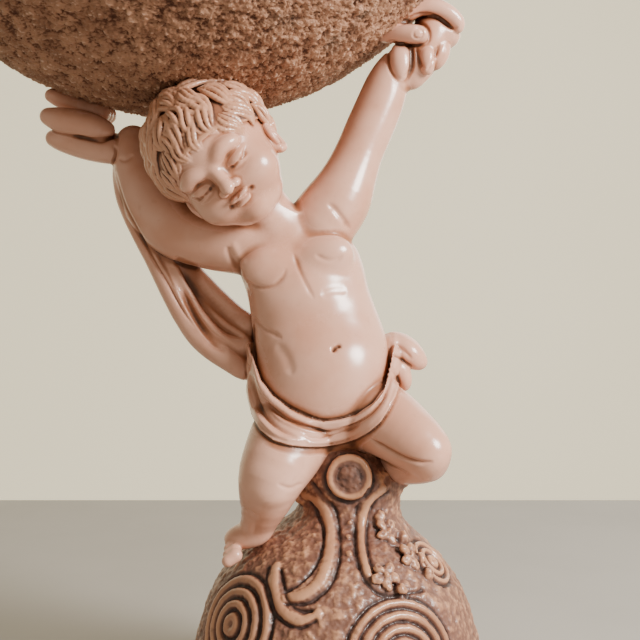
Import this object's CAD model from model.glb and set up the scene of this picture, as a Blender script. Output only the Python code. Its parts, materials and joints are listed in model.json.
"""Looks of a bubbling table fountain: a cast resin cherub, its bowl, mound and tub, and the water parts."""

import json
import math

import bpy
import numpy as np
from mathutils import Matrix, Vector, noise
from mathutils.kdtree import KDTree


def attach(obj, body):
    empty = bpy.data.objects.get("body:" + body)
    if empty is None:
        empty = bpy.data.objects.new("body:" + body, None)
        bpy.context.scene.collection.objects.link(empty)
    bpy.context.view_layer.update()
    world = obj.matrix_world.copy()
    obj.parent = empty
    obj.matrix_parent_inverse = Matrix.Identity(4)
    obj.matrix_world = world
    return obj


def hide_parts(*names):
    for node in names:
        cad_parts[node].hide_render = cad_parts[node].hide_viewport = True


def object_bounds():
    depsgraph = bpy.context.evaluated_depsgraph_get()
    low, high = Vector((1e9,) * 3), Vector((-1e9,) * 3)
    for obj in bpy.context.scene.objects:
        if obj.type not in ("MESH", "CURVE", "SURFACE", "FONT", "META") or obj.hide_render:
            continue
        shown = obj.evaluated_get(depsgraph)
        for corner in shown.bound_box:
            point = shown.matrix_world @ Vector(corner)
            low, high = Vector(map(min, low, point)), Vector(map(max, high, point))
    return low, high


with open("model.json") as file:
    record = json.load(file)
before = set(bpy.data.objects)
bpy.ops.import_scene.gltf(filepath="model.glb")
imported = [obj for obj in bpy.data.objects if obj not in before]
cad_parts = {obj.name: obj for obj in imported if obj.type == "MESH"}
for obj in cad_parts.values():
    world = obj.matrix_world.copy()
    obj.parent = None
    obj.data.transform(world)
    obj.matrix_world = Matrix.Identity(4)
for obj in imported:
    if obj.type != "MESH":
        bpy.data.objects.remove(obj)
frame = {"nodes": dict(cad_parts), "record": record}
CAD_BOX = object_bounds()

MM = 0.001
TOP_BODY = "fountain_top"

# Places shared by several pieces, in millimetres.
BOWL_C, BOWL_R, BOWL_WALL, RIM_ANGLE = (-95, 0, 566), 203.0, 7.0, 54.5
FITTING = (-74, -18)
SEAT_R, SEAT_Z = 20.0, 374.0
MEDALLION = (6.5, -33, 148)
HEAD = np.array([-67.0, -28.0, 330.0])


# --- modelling in clay ------------------------------------------------------------------------------
def soft_min(a, b, blend):
    """The lesser of two distances, with the corner between them filled over the blend width."""
    if blend == 0:
        return np.minimum(a, b)
    share = np.clip(0.5 + 0.5 * (b - a) / blend, 0, 1)
    return b + (a - b) * share - blend * share * (1 - share)


CORNERS = [(i, j, k) for i in (0, 1) for j in (0, 1) for k in (0, 1)]


class Clay:
    """Solid forms held as signed distances on a grid: negative is inside."""

    REACH = 7.0
    LEAST_SLOPE, MOST_SHIFT = 0.3, 0.4

    def __init__(self, low, high, cell):
        self.low, self.cell = np.array(low, float), cell
        self.size = np.ceil((np.array(high) - self.low) / cell).astype(int) + 1
        self.field = np.full(self.size, self.REACH, np.float32)

    def near(self, low, high, margin):
        """The part of the grid between two corners: its slices, and the places of its points."""
        first = np.clip(((np.array(low) - margin - self.low) / self.cell).astype(int), 0, self.size)
        last = np.clip(((np.array(high) + margin - self.low) / self.cell).astype(int) + 2, 0, self.size)
        axes = [self.low[i] + self.cell * np.arange(first[i], last[i], dtype=np.float32) for i in range(3)]
        return tuple(slice(a, b) for a, b in zip(first, last)), np.ix_(*[a.astype(np.float32) for a in axes])

    def add(self, form, blend=0.0):
        low, high, distance = form
        window, (x, y, z) = self.near(low, high, max(blend, self.REACH))
        if self.field[window].size:
            self.field[window] = soft_min(self.field[window], distance(x, y, z), blend)

    def cut(self, form, blend=0.0):
        low, high, distance = form
        window, (x, y, z) = self.near(low, high, blend + 2)
        if self.field[window].size:
            self.field[window] = -soft_min(-self.field[window], distance(x, y, z), blend)

    def add_all(self, forms, blend):
        for form in forms:
            self.add(form, blend)

    def cut_all(self, forms, blend):
        for form in forms:
            self.cut(form, blend)

    def hollowness(self, points, width):
        """How far each point lies in a hollow, from the distances averaged over a box of that width."""
        reach = max(1, round(width / self.cell / 2))
        field = np.clip(self.field, -width, width)
        for axis in range(3):
            pad = [(reach + 1, reach) if a == axis else (0, 0) for a in range(3)]
            total = np.cumsum(np.pad(field, pad, mode="edge"), axis=axis, dtype=np.float32)
            span = 2 * reach + 1
            upper = np.take(total, range(span, total.shape[axis]), axis=axis)
            lower = np.take(total, range(total.shape[axis] - span), axis=axis)
            field = (upper - lower) / span
        return -self.sample(field, points) / width

    def sample(self, field, points):
        """A field's values at points between the grid's own."""
        spot = np.clip((points - self.low) / self.cell, 0, np.array(field.shape) - 1.001)
        first = spot.astype(int)
        share = spot - first
        total = np.zeros(len(points))
        for corner in CORNERS:
            weight = np.prod(np.where(corner, share, 1 - share), axis=1)
            total += weight * field[tuple((first + corner).T)]
        return total

    def skin(self):
        """The surface as points and quads: one point per cell that the surface passes through."""
        f = self.field
        solid = f < 0
        shape = np.array(f.shape) - 1
        some, every = np.zeros(shape, bool), np.ones(shape, bool)
        for i, j, k in CORNERS:
            part = solid[i:i + shape[0], j:j + shape[1], k:k + shape[2]]
            some |= part
            every &= part
        cells = np.argwhere(some & ~every)
        total, count = np.zeros((len(cells), 3)), np.zeros(len(cells))
        for a in CORNERS:
            for axis in range(3):
                if a[axis]:
                    continue
                b = tuple(a[n] + (n == axis) for n in range(3))
                fa, fb = f[tuple((cells + a).T)], f[tuple((cells + b).T)]
                crossed = (fa < 0) != (fb < 0)
                share = np.where(crossed, fa / np.where(crossed, fa - fb, 1), 0)
                step = np.array(a) + share[:, None] * (np.array(b) - a)
                total += step * crossed[:, None]
                count += crossed
        points = self.low + self.cell * (cells + total / count[:, None])
        for _ in range(2):  # each round moves the points down the slope, onto the surface
            slope = np.stack([self.sample(f, points + step) - self.sample(f, points - step)
                              for step in self.cell * np.eye(3)], 1) / (2 * self.cell)
            off = self.sample(f, points) / np.maximum((slope ** 2).sum(axis=1), self.LEAST_SLOPE)
            most = self.MOST_SHIFT * self.cell
            points = points - np.clip(off, -most, most)[:, None] * slope
        number = np.full(shape, -1, np.int32)
        number[tuple(cells.T)] = np.arange(len(cells))
        quads = []
        for axis in range(3):
            one, two = (axis + 1) % 3, (axis + 2) % 3
            ahead = np.roll(solid, -1, axis)
            edges = np.argwhere(solid != ahead)
            inner = np.all((edges >= 1) & (edges < shape), axis=1)
            edges = edges[inner]
            ring = []
            for back_one, back_two in ((0, 0), (1, 0), (1, 1), (0, 1)):
                cell = edges.copy()
                cell[:, one] -= back_one
                cell[:, two] -= back_two
                ring.append(number[tuple(cell.T)])
            quad = np.stack(ring, axis=1)
            outward = solid[tuple(edges.T)]
            quad[~outward] = quad[~outward][:, ::-1]
            quads.append(quad[(quad >= 0).all(axis=1)])
        return points, np.concatenate(quads)


def limb(p, q, p_radius, q_radius):
    """A tapered round-ended bar."""
    p, q = np.array(p, float), np.array(q, float)
    run = q - p
    square = max(run @ run, 1e-6)
    reach = max(p_radius, q_radius)

    def distance(x, y, z):
        dx, dy, dz = x - p[0], y - p[1], z - p[2]
        t = np.clip((dx * run[0] + dy * run[1] + dz * run[2]) / square, 0, 1)
        off = (dx - t * run[0]) ** 2 + (dy - t * run[1]) ** 2 + (dz - t * run[2]) ** 2
        return np.sqrt(off) - (p_radius + (q_radius - p_radius) * t)

    return np.minimum(p, q) - reach, np.maximum(p, q) + reach, distance


def ball(centre, radii, axes=((1, 0, 0), (0, 1, 0), (0, 0, 1))):
    """An ellipsoid with its own axes."""
    centre, reach = np.array(centre, float), max(radii)

    def distance(x, y, z):
        dx, dy, dz = x - centre[0], y - centre[1], z - centre[2]
        own = [dx * a[0] + dy * a[1] + dz * a[2] for a in axes]
        near = np.sqrt(sum((u / r) ** 2 for u, r in zip(own, radii)))
        slope = np.sqrt(sum((u / r ** 2) ** 2 for u, r in zip(own, radii)))
        return near * (near - 1) / np.maximum(slope, 1e-4)

    return centre - reach, centre + reach, distance


def eased(heights, values):
    """Values between given heights, with the corners rounded off."""
    fine = np.arange(heights[0], heights[-1] + 1.0, 1.0)
    width = 9
    line = np.pad(np.interp(fine, heights, values), width // 2, mode="edge")
    return fine, np.convolve(line, np.ones(width) / width, "valid")


def loft(rows):
    """An upright body through ellipses: (z, centre x, centre y, radius x, radius y)."""
    rows = np.array(rows, float)
    fine = [eased(rows[:, 0], rows[:, column]) for column in range(1, 5)]

    def distance(x, y, z):
        cx, cy, rx, ry = (np.interp(z, heights, values).astype(np.float32) for heights, values in fine)
        side = (np.sqrt(((x - cx) / rx) ** 2 + ((y - cy) / ry) ** 2) - 1) * np.minimum(rx, ry)
        return np.maximum(side, np.maximum(z - rows[-1, 0], rows[0, 0] - z))

    wide = rows[:, 3:].max() + 8
    low = [rows[:, 1].min() - wide, rows[:, 2].min() - wide, rows[0, 0]]
    high = [rows[:, 1].max() + wide, rows[:, 2].max() + wide, rows[-1, 0]]
    return low, high, distance


def turned(rows):
    """An upright round body on the middle axis: (z, radius)."""
    return loft([(z, 0, 0, radius, radius) for z, radius in rows])


def curve_through(points, step=2.0):
    """A smooth line through the points, as closely spaced points."""
    points = np.array(points, float)
    ends = np.vstack([2 * points[0] - points[1], points, 2 * points[-1] - points[-2]])
    line = [points[:1]]
    for a, b, c, d in zip(ends, ends[1:], ends[2:], ends[3:]):
        count = max(2, int(np.linalg.norm((c - b)[:3]) / step) + 1)
        t = np.linspace(0, 1, count + 1)[1:, None]
        line.append(0.5 * (2 * b + (c - a) * t + (2 * a - 5 * b + 4 * c - d) * t ** 2
                           + (3 * b - a - 3 * c + d) * t ** 3))
    return np.concatenate(line)


def strand(points, step=2.0):
    """A rounded cord of clay along (x, y, z, radius) points."""
    line = curve_through(points, step)
    return [limb(a[:3], b[:3], max(a[3], 0.2), max(b[3], 0.2)) for a, b in zip(line, line[1:])]


def lumps(points, size, seed, octaves=4):
    """A rough field over the points, about -1 to 1, with lumps of the given size."""
    shift = Vector((13.7, 7.1, 3.3)) * seed
    return np.array([noise.fractal(Vector(p) / size + shift, 1.0, 2.0, octaves) for p in points.tolist()])


def outward(points, faces):
    """The surface's direction at each point."""
    a, b, c, d = (points[faces[:, n]] for n in range(4))
    normal = np.cross(c - a, d - b)
    total = np.stack([np.bincount(faces.ravel(), np.repeat(normal[:, n], 4),
                                  len(points)) for n in range(3)], 1)
    return total / np.maximum(np.linalg.norm(total, axis=1), 1e-9)[:, None]


# --- pieces -------------------------------------------------------------------------------------
def add_piece(name, points, faces, material, body, tones=None, node=None):
    """One smooth-shaded mesh piece, given in millimetres, that rides on a body."""
    mesh = bpy.data.meshes.new(name)
    mesh.from_pydata((np.asarray(points) * MM).tolist(), [], np.asarray(faces).tolist())
    mesh.polygons.foreach_set("use_smooth", np.ones(len(mesh.polygons), bool))
    for tone, values in (tones or {}).items():
        mesh.attributes.new(tone, "FLOAT", "POINT").data.foreach_set("value", np.asarray(values, np.float32))
    mesh.update()
    piece = bpy.data.objects.new(name, mesh)
    bpy.context.scene.collection.objects.link(piece)
    mesh.materials.append(material)
    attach(piece, body)
    if node:
        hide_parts(node)
    return piece


# --- materials ----------------------------------------------------------------------------------
class Value:
    """One value in a material. Operators on it add Math nodes."""

    def __init__(self, recipe, socket):
        self.recipe, self.socket = recipe, socket

    def _math(self, operation, first, second):
        return self.recipe.node("ShaderNodeMath", {"operation": operation}, {0: first, 1: second})

    def __add__(self, other):
        return self._math("ADD", self, other)

    def __sub__(self, other):
        return self._math("SUBTRACT", self, other)

    def __rsub__(self, other):
        return self._math("SUBTRACT", other, self)

    def __mul__(self, other):
        return self._math("MULTIPLY", self, other)

    __radd__, __rmul__ = __add__, __mul__


class Recipe:
    """A material in the making, with the one method that adds its nodes."""

    def __init__(self, name, **settings):
        self.material = bpy.data.materials.new(name)
        self.material.use_nodes = True
        self.tree = self.material.node_tree
        self.shader = self.tree.nodes["Principled BSDF"]
        for socket, value in settings.items():
            self.shader.inputs[socket.replace("_", " ")].default_value = value

    def node(self, kind, settings, sockets, output=0):
        made = self.tree.nodes.new(kind)
        for name, value in settings.items():
            if name == "stops":
                self._set_stops(made.color_ramp, value)
            else:
                setattr(made, name, value)
        for key, value in sockets.items():
            if isinstance(value, Value):
                self.tree.links.new(value.socket, made.inputs[key])
            else:
                made.inputs[key].default_value = value
        return Value(self, made.outputs[output])

    @staticmethod
    def _set_stops(ramp, stops):
        while len(ramp.elements) < len(stops):
            ramp.elements.new(0.5)
        for element, (place, colour) in zip(ramp.elements, stops):
            element.position, element.color = place, (*colour, 1.0)

    def place(self):
        return self.node("ShaderNodeTexCoord", {}, {}, "Object")

    def grain(self, size_mm, detail=4.0, stretch=None):
        """Noise whose features are about that size."""
        where = self.place()
        if stretch:
            where = self.node("ShaderNodeVectorMath", {"operation": "MULTIPLY"}, {0: where, 1: stretch})
        return self.node("ShaderNodeTexNoise", {},
                         {"Vector": where, "Scale": 1 / (size_mm * MM), "Detail": detail})

    def tone(self, name):
        """A number that a piece carries at each of its points."""
        return self.node("ShaderNodeAttribute", {"attribute_name": name}, {}, "Fac")

    def spread(self, value, low, high, to_low=0.0, to_high=1.0):
        """The value from low to high, spread over a new range and held inside it."""
        return self.node("ShaderNodeMapRange", {"interpolation_type": "SMOOTHSTEP"},
                         {0: value, 1: low, 2: high, 3: to_low, 4: to_high})

    def ramp(self, value, stops):
        return self.node("ShaderNodeValToRGB", {"stops": stops}, {0: value}, "Color")

    def blend(self, share, first, second, mode="MIX"):
        """Two colours mixed, where each is a Value or three numbers."""
        colours = {6: first, 7: second}
        for key, colour in colours.items():
            if not isinstance(colour, Value):
                colours[key] = (*colour, 1.0)
        return self.node("ShaderNodeMix", {"data_type": "RGBA", "blend_type": mode}, {0: share, **colours}, 2)

    def bump(self, height, depth_mm, strength=1.0):
        return self.node("ShaderNodeBump", {},
                         {"Height": height, "Distance": depth_mm * MM, "Strength": strength})

    def finish(self, **sockets):
        """Sets the shader's sockets, and hands over the material."""
        for name, value in sockets.items():
            self.tree.links.new(value.socket, self.shader.inputs[name.replace("_", " ")])
        return self.material


def darker(colour, share):
    return tuple(c * share for c in colour)


def cast_resin(name, light, dark, wash, roughness, speckle, coat):
    """Painted resin: a light colour, with a brown wash left in the hollows and rubbed off the high parts."""
    r = Recipe(name, Specular_IOR_Level=0.5, Coat_Weight=coat, Coat_Roughness=0.22)
    cloud = r.grain(34, 3)
    fine = r.grain(2.2, 5)
    body = r.blend(r.spread(cloud, 0.35, 0.68), light, dark)
    hollow = r.tone("hollow")
    edge = r.spread(hollow + (fine - 0.5) * 0.22, 0.06, 0.66)
    film = r.blend(edge * 0.85, body, wash)
    deep = r.spread(hollow + (fine - 0.5) * 0.3, 0.66, 1.3)
    colour = r.blend(deep, film, darker(wash, 0.34))
    dust = r.spread(r.grain(5.5, 6), 0.58, 0.74) * speckle
    colour = r.blend(dust, colour, darker(wash, 0.8))
    rub = r.spread(hollow, -0.25, -0.75) * 0.35
    colour = r.blend(rub, colour, tuple(min(1.0, c * 1.14) for c in light))
    rough = r.spread(hollow + (fine - 0.5) * 0.3, -0.1, 0.8, roughness, min(1.0, roughness + 0.34))
    return r.finish(Base_Color=colour, Roughness=rough, Normal=r.bump(r.grain(0.9, 3), 0.05, 0.35))


def rough_resin(name, light, dark, crevice, stain):
    """The bowl's stone-like back: mottled tan, pale on the lumps, nearly black in the pits."""
    r = Recipe(name, Specular_IOR_Level=0.45)
    hollow = r.tone("hollow")
    pits = r.grain(1.9, 6, (1, 1, 2.2))
    mottle = r.blend(r.spread(r.grain(16, 4), 0.38, 0.64), light, dark)
    depth = hollow + (pits - 0.5) * 1.1
    film = r.blend(r.spread(depth, 0.05, 0.55), mottle, crevice)
    deep = r.blend(r.spread(depth, 0.5, 0.95), film, darker(crevice, 0.25))
    high = r.blend(r.spread(depth, -0.18, -0.55) * 0.75, deep, (0.66, 0.42, 0.30))
    patch = r.spread(r.grain(30, 3), 0.52, 0.66) * r.tone("stained")
    colour = r.blend(patch * 0.8, high, stain)
    rough = r.spread(depth, -0.5, 0.6, 0.38, 0.85)
    return r.finish(Base_Color=colour, Roughness=rough,
                    Normal=r.bump(pits + r.grain(0.9, 3) * 0.35, 0.9, 0.8))


def moulded_plastic(name, colour, roughness, grain_mm=0.7, **settings):
    """Plain moulded plastic or rubber with a faint surface grain and slight shading of its colour."""
    r = Recipe(name, **settings)
    shade = r.blend(r.spread(r.grain(18, 3), 0.35, 0.7), colour, darker(colour, 0.72))
    rough = r.spread(r.grain(6, 4), 0.3, 0.7, roughness - 0.06, roughness + 0.1)
    return r.finish(Base_Color=shade, Roughness=rough, Normal=r.bump(r.grain(grain_mm, 3), 0.06, 0.5))


def worn_metal(name, colour, tarnish, roughness, amount=0.5):
    """Metal with a brushed grain and patches of tarnish."""
    r = Recipe(name, Metallic=1.0)
    patch = r.spread(r.grain(7, 5), 0.45, 0.68) * amount
    brushed = r.grain(0.8, 2, (1, 1, 0.08))
    rough = r.spread(brushed, 0.3, 0.7, roughness, roughness + 0.12) + patch * 0.25
    return r.finish(Base_Color=r.blend(patch, colour, tarnish), Roughness=rough,
                    Normal=r.bump(brushed, 0.03, 0.5))


def laminated_steel(name):
    """Stacked sheets of core steel, seen from the side as fine lines."""
    r = Recipe(name, Metallic=0.9)
    sheets = r.node("ShaderNodeTexWave", {"bands_direction": "Y"},
                    {"Vector": r.place(), "Scale": 320.0, "Distortion": 0.4, "Detail": 1.0})
    colour = r.blend(sheets, (0.30, 0.30, 0.31), (0.12, 0.12, 0.13))
    return r.finish(Base_Color=colour, Roughness=r.spread(sheets, 0, 1, 0.35, 0.6),
                    Normal=r.bump(sheets, 0.08))


def wound_wire(name):
    """Enamelled copper wire, laid in close turns."""
    r = Recipe(name, Metallic=0.85, Coat_Weight=0.4)
    turns = r.node("ShaderNodeTexWave", {"bands_direction": "X"},
                   {"Vector": r.place(), "Scale": 500.0, "Distortion": 0.6, "Detail": 1.0})
    colour = r.blend(turns, (0.70, 0.30, 0.14), (0.32, 0.11, 0.05))
    return r.finish(Base_Color=colour, Roughness=r.spread(turns, 0, 1, 0.25, 0.4), Normal=r.bump(turns, 0.12))


def open_foam(name, colour):
    """Coarse open-cell sponge."""
    r = Recipe(name, Sheen_Weight=0.3)
    cells = r.node("ShaderNodeTexVoronoi", {"feature": "F1"},
                   {"Vector": r.place(), "Scale": 620.0}, "Distance")
    shade = r.blend(r.spread(cells, 0.1, 0.7), darker(colour, 0.25), colour)
    return r.finish(Base_Color=shade, Roughness=r.spread(cells, 0, 1, 0.85, 1.0), Normal=r.bump(cells, 1.2))


def pressed_felt(name, colour):
    """Felt: short tangled fibres with a soft nap."""
    r = Recipe(name, Sheen_Weight=0.5)
    fibres = r.grain(0.6, 6, (1.0, 0.35, 1.0)) + r.grain(0.6, 6, (0.35, 1.0, 1.0)) * 0.8
    shade = r.blend(r.spread(fibres, 0.6, 1.2), darker(colour, 0.55), colour)
    return r.finish(Base_Color=shade, Roughness=r.spread(fibres, 0.5, 1.3, 0.85, 1.0),
                    Normal=r.bump(fibres, 0.4))


def clear_tube(name):
    """Slightly milky flexible tube, with a trace of scale."""
    r = Recipe(name, IOR=1.45, Transmission_Weight=0.55)
    scale = r.spread(r.grain(9, 5), 0.5, 0.72)
    colour = r.blend(scale * 0.4, (0.86, 0.90, 0.88), (0.62, 0.58, 0.46))
    return r.finish(Base_Color=colour, Roughness=r.spread(scale, 0, 1, 0.12, 0.4))


SKIN = cast_resin("cream_resin", (0.69, 0.385, 0.28), (0.61, 0.30, 0.20), (0.30, 0.10, 0.036),
                  0.24, 0.10, 0.3)
HAIR = cast_resin("hair_resin", (0.57, 0.29, 0.18), (0.44, 0.205, 0.115), (0.19, 0.06, 0.024),
                  0.28, 0.25, 0.3)
MOUND = cast_resin("mound_resin", (0.56, 0.28, 0.155), (0.40, 0.185, 0.10), (0.11, 0.038, 0.026),
                   0.30, 0.5, 0.3)
BASE = cast_resin("base_resin", (0.44, 0.22, 0.125), (0.30, 0.14, 0.075), (0.10, 0.038, 0.024),
                  0.32, 0.9, 0.25)
BOWL = rough_resin("bowl_resin", (0.42, 0.215, 0.125), (0.28, 0.13, 0.07), (0.10, 0.034, 0.016),
                   (0.10, 0.07, 0.05))

NODE_MATERIALS = {
    "felt_pad": pressed_felt("felt", (0.16, 0.13, 0.10)),
    "black_rubber": moulded_plastic("black_rubber", (0.03, 0.03, 0.032), 0.62),
    "suction_rubber": moulded_plastic("suction_rubber", (0.06, 0.06, 0.065), 0.42),
    "black_plastic": moulded_plastic("black_plastic", (0.035, 0.035, 0.038), 0.42),
    "brown_plastic": moulded_plastic("brown_plastic", (0.17, 0.10, 0.06), 0.40),
    "brass": worn_metal("brass", (0.78, 0.56, 0.27), (0.28, 0.20, 0.11), 0.28),
    "grey_hose": moulded_plastic("grey_hose", (0.22, 0.23, 0.23), 0.45, 1.4),
    "clear_hose": clear_tube("clear_hose"),
    "spring_steel": worn_metal("spring_steel", (0.55, 0.55, 0.56), (0.30, 0.24, 0.20), 0.32, 0.3),
    "pump_plastic": moulded_plastic("pump_plastic", (0.035, 0.042, 0.05), 0.45, 0.9),
    "cover_plastic": moulded_plastic("cover_plastic", (0.05, 0.058, 0.066), 0.50, 0.9),
    "dial_plastic": moulded_plastic("dial_plastic", (0.05, 0.19, 0.32), 0.38),
    "core_steel": laminated_steel("core_steel"),
    "copper": wound_wire("copper_wire"),
    "potting_resin": moulded_plastic("potting_resin", (0.03, 0.03, 0.035), 0.18, 3.0, Coat_Weight=0.5),
    "ferrite": moulded_plastic("ferrite", (0.07, 0.07, 0.075), 0.6),
    "impeller_plastic": moulded_plastic("impeller_plastic", (0.72, 0.72, 0.69), 0.35),
    "shaft_ceramic": moulded_plastic("shaft_ceramic", (0.80, 0.78, 0.73), 0.2),
    "sponge": open_foam("sponge", (0.09, 0.09, 0.10)),
    "cast_resin_base": BASE,
}


# --- drawing on the figure from the front -----------------------------------------------------------
# Where the camera stands, in millimetres.
EYE = np.array([-10.2, -560.0, 237.0])


def seen(x, z, depth):
    """The place at that depth which, to the eye in front, lies over (x, z) of the middle plane."""
    reach = (depth - EYE[1]) / -EYE[1]
    return EYE[0] + (x - EYE[0]) * reach, depth, EYE[2] + (z - EYE[2]) * reach


def drawn_place(x, y, z):
    """The (x, z) of the middle plane that the eye in front sees a place over: the reverse of seen."""
    reach = -EYE[1] / (y - EYE[1])
    return EYE[0] + (x - EYE[0]) * reach, EYE[2] + (z - EYE[2]) * reach


def seen_strand(points, step=3.0):
    """A cord of clay along (x, z, depth, radius) points, as seen from the front."""
    return strand([(*seen(*point[:3]), point[3]) for point in points], step)


def line_distance(x, z, line):
    """Distance of each (x, z) from a drawn line, and how far along it the nearest place is, 0 to 1."""
    best, along = np.full(len(x), 1e3), np.zeros(len(x))
    for number, (a, b) in enumerate(zip(line, line[1:])):
        run = b - a
        t = np.clip(((x - a[0]) * run[0] + (z - a[1]) * run[1]) / (run @ run), 0, 1)
        off = np.hypot(x - a[0] - t * run[0], z - a[1] - t * run[1])
        closer = off < best
        best = np.where(closer, off, best)
        along = np.where(closer, (number + t) / (len(line) - 1), along)
    return best, along


def engrave(points, normals, strokes, depths):
    """Height and brown wash for strokes drawn on the front of what lies between two depths.

    Each stroke is its line, its half width, its height (cut if negative) and how brown it is."""
    x, z = drawn_place(*points.T)
    facing = np.clip((0.3 - normals[:, 1]) / 0.5, 0, 1)
    facing = facing * (points[:, 1] > depths[0]) * (points[:, 1] < depths[1])
    height, brown = np.zeros(len(points)), np.zeros(len(points))
    for line, width, rise, tint in strokes:
        line = curve_through(line, 1.5)
        (left, low), (right, high) = line.min(axis=0) - 3 * width, line.max(axis=0) + 3 * width
        near = np.flatnonzero((facing > 0) & (x > left) & (x < right) & (z > low) & (z < high))
        if not len(near):
            continue
        off, along = line_distance(x[near], z[near], line)
        taper = np.clip(6 * np.minimum(along, 1 - along), 0.0, 1) ** 0.6
        body = np.exp(-(off / (width * (0.35 + 0.65 * taper))) ** 2) * taper * facing[near]
        height[near] += rise * body
        brown[near] = np.maximum(brown[near], tint * body)
    return height, brown


# --- the cherub's body ----------------------------------------------------------------------------
def bowl_under(x, y):
    """Height of the bowl's back above a plan position."""
    return BOWL_C[2] - math.sqrt(BOWL_R ** 2 - (x - BOWL_C[0]) ** 2 - (y - BOWL_C[1]) ** 2)


def tilted(degrees):
    """Axes turned about Y, so that their tops lean to +X."""
    c, s = math.cos(math.radians(degrees)), math.sin(math.radians(degrees))
    return (c, 0, -s), (0, 1, 0), (s, 0, c)


def shape_trunk(clay):
    clay.add(loft([
        (160, -2, -2, 26, 20), (170, -4, -3, 37, 27), (180, -7, -4, 42, 31), (192, -9, -5, 42, 32),
        (206, -9, -5, 40.5, 31), (220, -9, -5, 40, 30), (232, -11.5, -4, 39, 28),
        (244, -14.5, -2, 37.5, 26.5), (256, -18, -1, 36.5, 25.5), (268, -21.5, 0, 37.5, 24.5),
        (280, -26, 1, 37.5, 22), (290, -28, 1, 31, 18), (298, -30, 0, 22, 14),
    ]))
    clay.add(ball((-8, -16, 206), (30, 22, 25), tilted(-8)), 10)
    clay.add(ball((-41, -16, 268), (15.5, 9.5, 12), tilted(-12)), 7)
    clay.add(ball((-6, -17, 275), (15, 9, 11), tilted(-12)), 7)
    clay.add(ball((-22, -16, 250), (24, 12, 16)), 8)
    clay.add(limb((-34, -3, 290), (-56, -13, 316), 16, 17), 9)
    clay.add(ball((-22, 14, 268), (34, 13, 26)), 12)
    clay.add(ball((-16, 15, 186), (25, 18, 20)), 12)
    clay.add(ball((10, 13, 186), (24, 18, 20)), 12)


def shape_arms(clay):
    raised = [(-10, 294, 1, 20), (1, 309, 1, 18.5), (7.5, 323, 2, 15.4), (13.5, 338, 3, 13.6),
              (19.5, 352, 4, 13.6), (25.5, 366, 5, 13.2), (30, 378, 5, 12), (36, 389, 5, 10.5)]
    bent = [(-46, 284, 0, 20), (-72, 286, 0, 18.6), (-94, 291.5, 3, 17.8), (-108, 302, 7, 16.6),
            (-115, 315, 10, 15.2), (-120, 330, 13, 13.4), (-122, 343, 16, 11)]
    for arm in (raised, bent):
        clay.add_all(seen_strand(arm, 6), 2.5)


def shape_left_hand(clay):
    """The raised hand: fist from the front, with the thumb across it and the index finger over the top."""
    clay.add_all(seen_strand([(44, 384, 5, 9), (50, 396, 5, 12), (57, 409, 4, 12.5)], 5), 3)
    clay.add(ball(seen(66, 408, 4), (8, 10, 8)), 3)
    index = [(32, 412.5, -4, 4.2), (41, 420, -7, 4.8), (50, 424.6, -8, 4.9), (59, 424.4, -8, 5),
             (67, 420.8, -7, 4.8), (72, 415.8, -5, 4.3), (72.5, 412.6, -4, 3.6)]
    for back in (0, 8, 16):
        row = [(x - 0.15 * back, z - 0.1 * back, depth + back, radius) for x, z, depth, radius in index]
        clay.add_all(seen_strand(row, 3), 0.8)
    clay.add_all(seen_strand([(29, 409, -5, 5.4), (38, 409.6, -9, 5.8), (46, 409, -11, 5.7),
                              (50, 408.4, -11, 5.2)], 3), 0.8)
    clay.add(ball(seen(38, 392, -5), (6.6, 5.5, 11.5), tilted(-4)), 0.8)
    clay.add(ball(seen(54, 393.5, -5), (5.2, 5, 9.5), tilted(-6)), 0.8)
    clay.add(ball(seen(61.5, 396, 0), (5.6, 7, 10), tilted(26)), 1.2)


def shape_right_hand(clay):
    """The hand under the bowl: fingers flat against the bowl's back over the heel of the palm."""
    clay.add_all(seen_strand([(-173, 359, 8, 5.4), (-166, 357, 8, 7.2), (-156, 355, 8, 8),
                              (-146, 352.6, 8, 7.6), (-138, 351, 9, 5)], 4), 1.5)
    clay.add_all(seen_strand([(-170, 346, 16, 5), (-162, 344.4, 14, 7), (-152, 341.6, 13, 7.6),
                              (-142, 339.4, 12, 7.6), (-131, 338, 13, 7.6)], 4), 2)
    for number in range(3):
        y = 20 + 8 * number
        line = [(x, y, bowl_under(x, y) - 5) for x in (-146, -158, -168, -177 - 2 * number)]
        clay.add_all(strand([(*point, radius) for point, radius in zip(line, (5.8, 5.6, 5.2, 4.2))], 4), 1.5)
    clay.add(ball((-146, 26, 346), (20, 13, 9)), 4)


def shape_legs(clay):
    kneeling = [(4, 4, 180, 22), (22, -16, 181, 21), (38, -30, 172, 17.5), (49, -37, 163.5, 14.6)]
    shin = [(50, -33, 158, 12.5), (38, -10, 154, 13), (36, 14, 152, 11.5), (36, 34, 150, 8.5)]
    standing = [(-19, -4, 182, 25), (-29, -19, 165, 22.5), (-37.5, -31, 149, 18.2), (-41.5, -27, 134, 13.8),
                (-45, -21, 122, 10), (-48, -17, 115, 9)]
    for leg in (kneeling, shin, standing):
        clay.add_all(strand(leg, 7), 2.5)
    clay.add(ball((-37, -43, 142), (7.5, 5, 6.5)), 5)


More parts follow.
